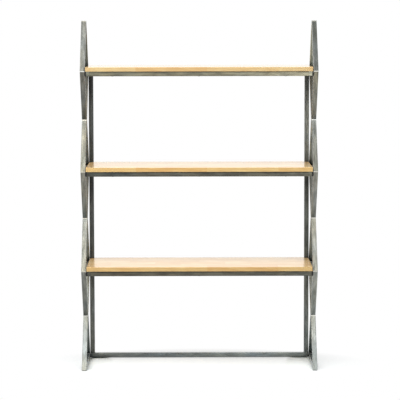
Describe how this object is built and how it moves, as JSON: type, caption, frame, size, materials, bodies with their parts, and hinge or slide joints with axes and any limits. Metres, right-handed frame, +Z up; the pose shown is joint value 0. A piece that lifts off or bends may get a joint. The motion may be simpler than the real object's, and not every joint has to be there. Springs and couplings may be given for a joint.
{
  "type": "open bookcase",
  "caption": "Free-standing open bookcase: oak shelves on square steel tube rails between two zigzag side frames, with upright back posts and a floor rail.",
  "frame": {"origin": "on the floor under the middle of the bookcase, at the underside of the glides", "axes": "+X to the right seen from the front, +Y from front to back, +Z up"},
  "size_m": [1.1, 0.38, 1.627],
  "materials": {
    "steel": "raw brushed steel under clear lacquer",
    "oak": "lacquered oak, edge-glued staves",
    "plastic": "moulded black plastic",
    "zinc": "zinc-plated fastener"
  },
  "bodies": {
    "root": {"bottom_rail": "steel", "end_caps": "steel", "frame_bolts": "zinc", "frame_spacers": "plastic", "glides": "plastic", "hole_plugs": "plastic", "joint_plates": "steel", "left_back_post": "steel", "left_back_strut_1": "steel", "left_back_strut_2": "steel", "left_back_strut_3": "steel", "left_back_strut_4": "steel", "left_back_strut_5": "steel", "left_back_strut_6": "steel", "left_back_strut_7": "steel", "left_base_bar": "steel", "left_front_strut_1": "steel", "left_front_strut_2": "steel", "left_front_strut_3": "steel", "left_front_strut_4": "steel", "left_front_strut_5": "steel", "left_front_strut_6": "steel", "left_front_strut_7": "steel", "lower_back_rail": "steel", "lower_board": "oak", "lower_front_rail": "steel", "lower_left_rail": "steel", "lower_right_rail": "steel", "middle_back_rail": "steel", "middle_board": "oak", "middle_front_rail": "steel", "middle_left_rail": "steel", "middle_right_rail": "steel", "right_back_post": "steel", "right_back_strut_1": "steel", "right_back_strut_2": "steel", "right_back_strut_3": "steel", "right_back_strut_4": "steel", "right_back_strut_5": "steel", "right_back_strut_6": "steel", "right_back_strut_7": "steel", "right_base_bar": "steel", "right_front_strut_1": "steel", "right_front_strut_2": "steel", "right_front_strut_3": "steel", "right_front_strut_4": "steel", "right_front_strut_5": "steel", "right_front_strut_6": "steel", "right_front_strut_7": "steel", "shelf_screws": "zinc", "threaded_bushes": "zinc", "tie_bars": "steel", "upper_back_rail": "steel", "upper_board": "oak", "upper_front_rail": "steel", "upper_left_rail": "steel", "upper_right_rail": "steel"}
  },
  "joints": []
}
